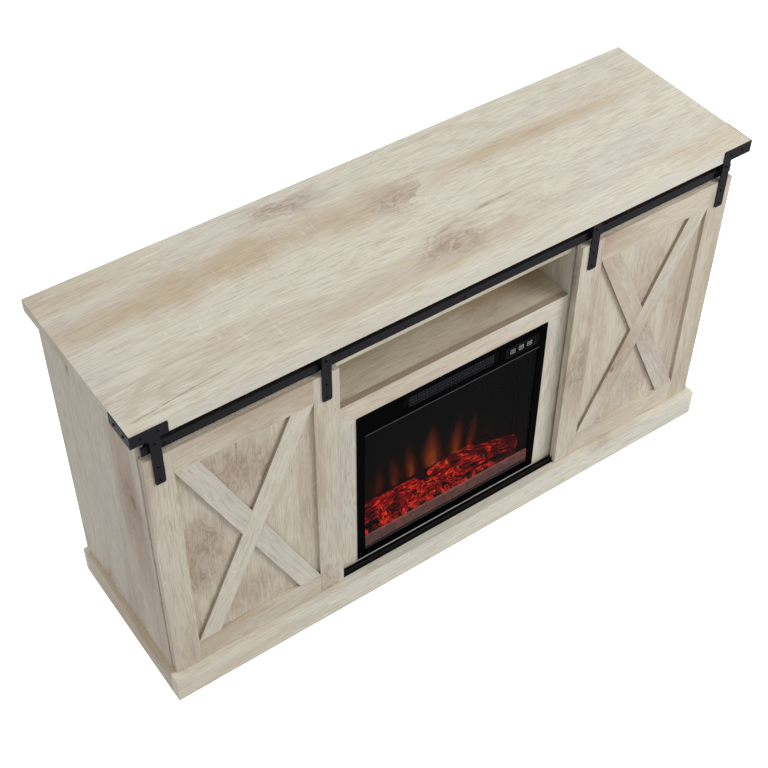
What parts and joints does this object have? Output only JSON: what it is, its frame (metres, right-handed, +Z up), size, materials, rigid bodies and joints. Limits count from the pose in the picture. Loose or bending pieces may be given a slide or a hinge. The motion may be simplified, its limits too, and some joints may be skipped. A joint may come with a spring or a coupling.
{
  "type": "electric fireplace cabinet",
  "caption": "Low washed-oak media cabinet with two sliding X-braced barn doors on a black track, an open niche and an electric fire insert.",
  "frame": {"origin": "on the floor, under the middle of the outer box", "axes": "+X along the cabinet to its right as seen from the front, +Y to the back, +Z up"},
  "size_m": [1.3794, 0.397, 0.777],
  "materials": {
    "oak_laminate": "satin",
    "door_laminate": "satin",
    "back_hardboard": "matte",
    "black_hardware": "satin",
    "black_plastic": "matte",
    "plated_steel": "satin",
    "insert_black": "gloss",
    "key_gloss": "gloss",
    "smoked_glass": "gloss",
    "housing_steel": "satin",
    "dark_screen": "gloss",
    "resin_logs": "matte",
    "ember_resin": "matte",
    "circuit_board": "matte",
    "heater_fins": "satin",
    "mirror_fins": "gloss",
    "roller_nylon": "satin"
  },
  "bodies": {
    "cabinet": {"top_panel": "oak_laminate", "left_side_panel": "oak_laminate", "right_side_panel": "oak_laminate", "left_partition": "oak_laminate", "right_partition": "oak_laminate", "bottom_panel": "oak_laminate", "niche_shelf": "oak_laminate", "left_bay_shelf": "oak_laminate", "right_bay_shelf": "oak_laminate", "shelf_pins": "plated_steel", "fascia_top_rail": "oak_laminate", "fascia_stiles": "oak_laminate", "header_rail": "oak_laminate", "plinth_front_board": "oak_laminate", "plinth_rear_board": "oak_laminate", "plinth_side_boards": "oak_laminate", "bay_back_panels": "back_hardboard", "niche_back_panel": "back_hardboard", "track_rail": "black_hardware", "track_spacer": "black_hardware", "track_screws": "black_hardware", "door_guide_channel": "black_plastic", "corner_brackets": "black_hardware", "bracket_screws": "black_hardware", "insert_front_frame": "insert_black", "viewing_glass": "smoked_glass", "vent_grille": "insert_black", "control_panel": "insert_black", "insert_housing": "housing_steel", "flame_screen": "dark_screen", "rear_log": "resin_logs", "front_log": "resin_logs", "ember_strip": "ember_resin", "led_board": "circuit_board", "flame_motor": "housing_steel", "heater_element": "heater_fins", "cord_gland": "black_plastic"},
    "left_door": {"left_door_panel": "door_laminate", "left_door_stiles": "door_laminate", "left_door_rails": "door_laminate", "left_long_brace": "door_laminate", "left_short_braces": "door_laminate", "left_hangers": "black_hardware", "left_hanger_bolts": "black_hardware"},
    "left_outer_roller": {"left_outer_roller": "roller_nylon"},
    "left_inner_roller": {"left_inner_roller": "roller_nylon"},
    "right_door": {"right_door_panel": "door_laminate", "right_door_stiles": "door_laminate", "right_door_rails": "door_laminate", "right_long_brace": "door_laminate", "right_short_braces": "door_laminate", "right_hangers": "black_hardware", "right_hanger_bolts": "black_hardware"},
    "right_outer_roller": {"right_outer_roller": "roller_nylon"},
    "right_inner_roller": {"right_inner_roller": "roller_nylon"},
    "power_key": {"power_key": "key_gloss"},
    "flame_key": {"flame_key": "key_gloss"},
    "heat_key": {"heat_key": "key_gloss"},
    "flame_spindle": {"flame_spindle": "mirror_fins"},
    "blower_wheel": {"blower_wheel": "heater_fins"}
  },
  "joints": [
    {"name": "left_door_slide", "type": "slide", "parent": "cabinet", "child": "left_door", "axis": [1, 0, 0], "range_m": [0, 0.275]},
    {"name": "left_outer_roller_turn", "type": "hinge", "parent": "left_door", "child": "left_outer_roller", "pos_m": [-0.6395, -0.1745, 0.726], "axis": [0, 1, 0], "range_deg": [0, 2060]},
    {"name": "left_inner_roller_turn", "type": "hinge", "parent": "left_door", "child": "left_inner_roller", "pos_m": [-0.3055, -0.1745, 0.726], "axis": [0, 1, 0], "range_deg": [0, 2060]},
    {"name": "right_door_slide", "type": "slide", "parent": "cabinet", "child": "right_door", "axis": [-1, 0, 0], "range_m": [0, 0.275]},
    {"name": "right_outer_roller_turn", "type": "hinge", "parent": "right_door", "child": "right_outer_roller", "pos_m": [0.6395, -0.1745, 0.726], "axis": [0, -1, 0], "range_deg": [0, 2060]},
    {"name": "right_inner_roller_turn", "type": "hinge", "parent": "right_door", "child": "right_inner_roller", "pos_m": [0.3055, -0.1745, 0.726], "axis": [0, -1, 0], "range_deg": [0, 2060]},
    {"name": "power_key_press", "type": "slide", "parent": "cabinet", "child": "power_key", "axis": [0, 1, 0], "range_m": [0, 0.0006], "stiffness_N_per_m": 400},
    {"name": "flame_key_press", "type": "slide", "parent": "cabinet", "child": "flame_key", "axis": [0, 1, 0], "range_m": [0, 0.0006], "stiffness_N_per_m": 400},
    {"name": "heat_key_press", "type": "slide", "parent": "cabinet", "child": "heat_key", "axis": [0, 1, 0], "range_m": [0, 0.0006], "stiffness_N_per_m": 400},
    {"name": "flame_spindle_turn", "type": "hinge", "parent": "cabinet", "child": "flame_spindle", "pos_m": [0, -0.0685, 0.15], "axis": [1, 0, 0], "continuous": true},
    {"name": "blower_turn", "type": "hinge", "parent": "cabinet", "child": "blower_wheel", "pos_m": [0, -0.0835, 0.477], "axis": [1, 0, 0], "continuous": true}
  ],
  "couplings": [
    {"joint": "left_outer_roller_turn", "follows": "left_door_slide", "rad_per_m": 129.87},
    {"joint": "left_inner_roller_turn", "follows": "left_door_slide", "rad_per_m": 129.87},
    {"joint": "right_outer_roller_turn", "follows": "right_door_slide", "rad_per_m": 129.87},
    {"joint": "right_inner_roller_turn", "follows": "right_door_slide", "rad_per_m": 129.87}
  ]
}
